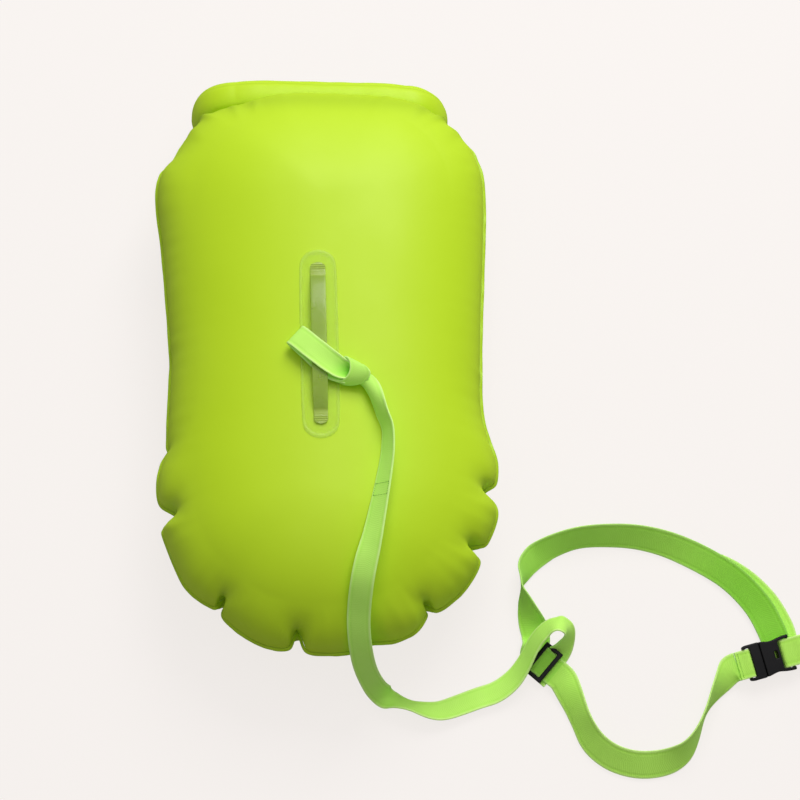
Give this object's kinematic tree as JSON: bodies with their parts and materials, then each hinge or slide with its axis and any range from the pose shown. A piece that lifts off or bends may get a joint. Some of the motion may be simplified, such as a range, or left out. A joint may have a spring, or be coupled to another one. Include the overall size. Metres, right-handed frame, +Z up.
{
  "type": "open water swim buoy",
  "caption": "Inflatable open water swim buoy: a lime dry bag with a rolled mouth, a clear handle strip, a webbing tether and a waist belt with a side-release buckle.",
  "frame": {"origin": "on the floor below the middle of the inflated bag, with the tether and belt left out", "axes": "+Z up with the clear handle strip on top, +Y towards the rolled mouth, +X to the right of the bag seen from above with its mouth at the far end"},
  "size_m": [0.7338, 0.7516, 0.186],
  "materials": {
    "lime_coated_fabric": "satin",
    "lime_weld": "satin",
    "inner_liner": "satin",
    "clear_film": "clear",
    "spring_green_webbing": "woven",
    "green_belt_webbing": "woven",
    "black_plastic": "satin",
    "valve_plastic": "satin",
    "seal_rubber": "matte"
  },
  "bodies": {
    "bag": {"front_air_chamber": "lime_coated_fabric", "back_air_chamber": "lime_coated_fabric", "dry_compartment_liner": "inner_liner", "welded_rim": "lime_weld", "roll_top": "lime_coated_fabric", "mouth_stiffener": "black_plastic", "closure_tab_left": "spring_green_webbing", "closure_tab_right": "spring_green_webbing", "closure_buckle_socket": "black_plastic", "handle_patch": "clear_film", "handle_strip": "clear_film", "tether_hitch": "spring_green_webbing", "tether_webbing": "spring_green_webbing", "belt_far_run": "green_belt_webbing", "belt_near_run": "green_belt_webbing", "belt_adjuster_end": "green_belt_webbing", "belt_buckle_socket": "black_plastic", "left_valve_base": "valve_plastic", "left_valve_check_disc": "seal_rubber", "left_valve_seal": "seal_rubber", "right_valve_base": "valve_plastic", "right_valve_check_disc": "seal_rubber", "right_valve_seal": "seal_rubber"},
    "belt_plug": {"belt_buckle_plug": "black_plastic", "belt_buckle_prongs": "black_plastic", "belt_sewn_end": "green_belt_webbing"},
    "closure_plug": {"closure_buckle_plug": "black_plastic", "closure_buckle_prongs": "black_plastic"},
    "slider": {"belt_slider": "black_plastic"},
    "left_valve_stem": {"left_valve_mouthpiece": "valve_plastic"},
    "right_valve_stem": {"right_valve_mouthpiece": "valve_plastic"}
  },
  "joints": [
    {"name": "belt_clip", "type": "slide", "parent": "bag", "child": "belt_plug", "axis": [-0.9563, -0.2924, 0], "range_m": [0, 0.02], "deforming": ["belt_buckle_prongs", "belt_near_run"]},
    {"name": "closure_clip", "type": "slide", "parent": "bag", "child": "closure_plug", "axis": [-1, 0, 0], "range_m": [0, 0.018], "deforming": ["closure_buckle_prongs", "closure_tab_left"]},
    {"name": "slider_travel", "type": "slide", "parent": "bag", "child": "slider", "axis": [0.766, -0.6428, 0], "range_m": [0, 0.008]},
    {"name": "left_valve_twist", "type": "hinge", "parent": "bag", "child": "left_valve_stem", "pos_m": [-0.0521, 0.24805, 0.0228], "axis": [-0.2182, 0.4105, -0.8854], "range_deg": [0, 90]},
    {"name": "right_valve_twist", "type": "hinge", "parent": "bag", "child": "right_valve_stem", "pos_m": [0.04899, 0.24219, 0.01995], "axis": [0.2318, 0.436, -0.8696], "range_deg": [0, 90]}
  ]
}
